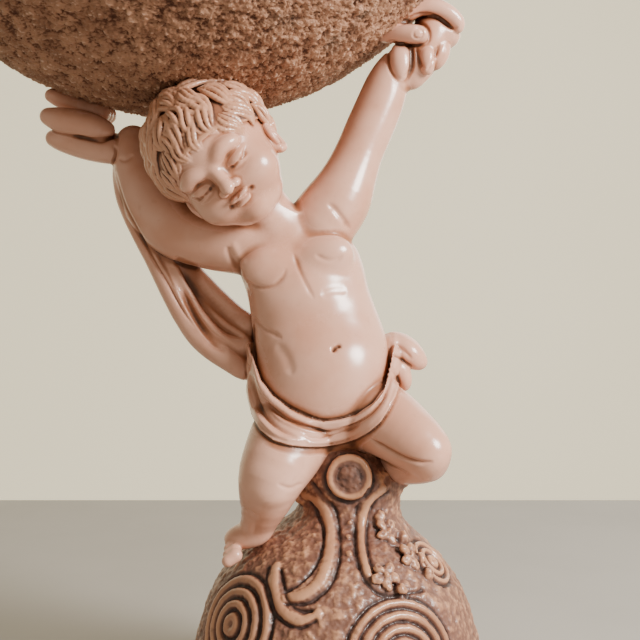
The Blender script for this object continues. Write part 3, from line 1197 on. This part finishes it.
def shape_mound(clay):
    rows = [(z, shift, 0, radius, radius) for z, shift, radius in MOUND_ROWS]
    clay.add(loft(rows))
    clay.add(turned([(39, 73), (50, 73)]))
    clay.add(turned([(46, 84), (50, 84), (54, 82)]), 2)
    clay.add(ball((6.5, -24, 148), (14.5, 10, 14.5)), 2)
    for tip, curl in (((38, -10, 143), 1), ((-21, -12, 134), -1)):
        clay.add(limb((tip[0] - 10 * curl, tip[1], tip[2] - 2), tip, 7, 5), 4)
        clay.add(limb((tip[0] - 10 * curl, 14, tip[2] - 2), (tip[0], 12, tip[2]), 7, 5), 4)
    for degrees, z in ROSETTES:
        for half_turn in (0, 180):
            shape_rosette(clay, degrees + half_turn, z, 8.4)
    for degrees, z in STUDS:
        for half_turn in (0, 180):
            clay.add(ball(on_mound(degrees + half_turn, z), (1.9, 1.9, 1.9)), 0.5)
    for degrees, z in ((30, 91), (52, 95), (33, 124), (52, 112)):
        clay.add(ball(np.array(on_mound(degrees, z)) * (1.01, 1.01, 1), (3.6, 3.6, 4.6)), 0.8)
    clay.cut(turned([(30, 67), (48, 67), (57, 72), (70, 70), (83, 63), (96, 52), (106, 41),
                     (114, 29), (120, 19)]))


def make_mound():
    clay = Clay((-90, -90, 36), (90, 90, 166), 0.8)
    shape_mound(clay)
    points, quads = clay.skin()
    normals = outward(points, quads)
    shift, radius = mound_side(points[:, 2])
    outside = (np.hypot(points[:, 0] - shift, points[:, 1]) > radius - 3.5) & (points[:, 2] > 47)
    height, dark = mound_relief(points)
    hollow = clay.hollowness(points, 4) * 4.0
    points = points + normals * (height * outside)[:, None]
    add_piece("scroll_mound", points, quads, MOUND, TOP_BODY,
              {"hollow": hollow + 0.12 + dark * outside}, "scroll_pedestal")


# --- the bowl -------------------------------------------------------------------------------------
def bowl_ring(radius, degrees, turns):
    turn = math.radians(degrees)
    flat = radius * math.sin(turn)
    return np.column_stack([BOWL_C[0] + flat * np.cos(turns), BOWL_C[1] + flat * np.sin(turns),
                            np.full(len(turns), BOWL_C[2] - radius * math.cos(turn))])


# How far the crust roughens each part of the bowl.
BACK_ROUGH, RIM_ROUGH, INSIDE_ROUGH = 1.0, 0.55, 0.16


def make_bowl():
    """The back is rough and lumpy, the rim round and uneven, the inside smoother with a flat seat."""
    count = 720
    turns = np.linspace(0, 2 * math.pi, count, endpoint=False)
    inner_r, middle_r, half = BOWL_R - BOWL_WALL, BOWL_R - BOWL_WALL / 2, BOWL_WALL / 2
    rows, strength = [], []
    for angle in np.linspace(0.15, RIM_ANGLE, 240):
        rows.append(bowl_ring(BOWL_R, angle, turns))
        strength.append(BACK_ROUGH)
    rim = bowl_ring(middle_r, RIM_ANGLE, turns)
    out = bowl_ring(1, RIM_ANGLE, turns) - BOWL_C
    along = bowl_ring(1, RIM_ANGLE + 90, turns) - BOWL_C
    for bend in (30, 60, 90, 120, 150):
        turn = math.radians(bend)
        rows.append(rim + half * (math.cos(turn) * out + math.sin(turn) * along))
        strength.append(RIM_ROUGH)
    for angle in np.linspace(RIM_ANGLE, 0.3, 110):
        rows.append(bowl_ring(inner_r, angle, turns))
        strength.append(INSIDE_ROUGH)
    points = np.concatenate(rows)
    strength = np.repeat(strength, count)
    coarse, fine = lumps(points * (1, 1, 1.6), 6, 5, 4), lumps(points * (1, 1, 1.5), 2.4, 6, 3)
    crust = coarse * 0.9 + np.abs(fine) * 1.6 - 0.5
    centre_way = points - np.array(BOWL_C)
    normals = centre_way / np.linalg.norm(centre_way, axis=1)[:, None]
    inside = strength <= INSIDE_ROUGH
    points = points + normals * (np.clip(crust, -1.3, 0.9) * strength * 1.5)[:, None]
    near = np.hypot(points[:, 0] - FITTING[0], points[:, 1] - FITTING[1])
    ease = np.clip((near - SEAT_R) / 6, 0, 1)
    points[:, 2] = np.where(inside, np.maximum(points[:, 2], SEAT_Z - 12 * ease ** 2), points[:, 2])
    number = np.arange(len(points)).reshape(len(rows), count)
    here, ahead = number[:-1], number[1:]
    faces = np.stack([here, np.roll(here, -1, 1), np.roll(ahead, -1, 1), ahead], -1).reshape(-1, 4)
    hollow = -crust * 0.55 * np.where(inside, 0.6, 1.0) + 0.08
    stained = np.clip((points[:, 0] - BOWL_C[0] - 40) / 90, 0, 1) * ~inside
    add_piece("bowl_shell", points, faces[:, ::-1], BOWL, TOP_BODY,
              {"hollow": hollow, "stained": stained}, "bowl")


# --- the tub and the water parts --------------------------------------------------------------------
def finish_nodes():
    """Gives each remaining node its material."""
    slots = {part["node"]: part["material_slot"] for part in frame["record"]["subparts"]}
    for name, piece in frame["nodes"].items():
        material = NODE_MATERIALS.get(slots[name])
        if material:
            piece.data.materials.clear()
            piece.data.materials.append(material)


# --- studio ---------------------------------------------------------------------------------------
def add_lamp(name, place, target, size, power, colour):
    lamp = bpy.data.lights.new(name, "AREA")
    lamp.shape, lamp.size, lamp.energy, lamp.color = "DISK", size, power, colour
    holder = bpy.data.objects.new(name, lamp)
    holder.location = place
    holder.rotation_euler = (Vector(target) - Vector(place)).to_track_quat("-Z", "Y").to_euler()
    bpy.context.scene.collection.objects.link(holder)


def add_sheet(name, corners, height, material):
    """One flat sheet of the studio."""
    mesh = bpy.data.meshes.new(name)
    mesh.from_pydata(corners, [], [(0, 1, 2, 3)])
    mesh.materials.append(material)
    sheet = bpy.data.objects.new(name, mesh)
    sheet.location.z = height
    bpy.context.scene.collection.objects.link(sheet)
    return sheet


def make_studio():
    middle = (0.0, 0.0, 0.6 * CAD_BOX[1][2])
    add_lamp("key", (0.95, -0.65, 0.72), middle, 0.5, 38, (1.0, 0.97, 0.93))
    add_lamp("side", (-1.1, -0.6, 0.45), middle, 1.0, 0.8, (1.0, 0.80, 0.60))
    add_lamp("back", (0.5, 1.1, 0.9), middle, 1.2, 5, (0.95, 0.97, 1.0))
    world = bpy.data.worlds.new("room")
    world.use_nodes = True
    world.node_tree.nodes["Background"].inputs["Color"].default_value = (0.97, 0.88, 0.70, 1)
    world.node_tree.nodes["Background"].inputs["Strength"].default_value = 0.42
    bpy.context.scene.world = world
    r = Recipe("pale_floor", Roughness=0.6)
    speck = r.spread(r.grain(120, 3), 0.35, 0.65)
    pale = r.finish(Base_Color=r.blend(speck, (0.40, 0.375, 0.34), (0.385, 0.36, 0.325)))
    wide, near, far = 3.0, -2.0, 0.67
    corners = [(-wide, near, 0), (wide, near, 0), (wide, far, 0), (-wide, far, 0)]
    floor = add_sheet("floor", corners, -0.0004, pale)
    r = Recipe("pale_wall", Roughness=0.8, Emission_Color=(0.95, 0.84, 0.56, 1), Emission_Strength=0.75)
    cloud = r.spread(r.grain(600, 2), 0.3, 0.7)
    cream = r.finish(Base_Color=r.blend(cloud, (0.80, 0.74, 0.60), (0.77, 0.71, 0.57)))
    wide, behind, foot, top = 4.0, 1.7, -1.6, 3.0
    corners = [(-wide, behind, top), (wide, behind, top), (wide, behind, foot), (-wide, behind, foot)]
    wall = add_sheet("wall", corners, 0.0, cream)


def make_camera():
    """Level with the figure's waist, square to its front, a little over half a metre away."""
    camera = bpy.data.cameras.new("camera")
    camera.lens, camera.sensor_width = 52.5, 36.0
    holder = bpy.data.objects.new("camera", camera)
    holder.location = EYE * MM
    holder.rotation_euler = (math.radians(90), 0, 0)
    bpy.context.scene.collection.objects.link(holder)
    bpy.context.scene.camera = holder


make_studio()
make_camera()
finish_nodes()
make_body()
make_head()
make_mound()
make_bowl()
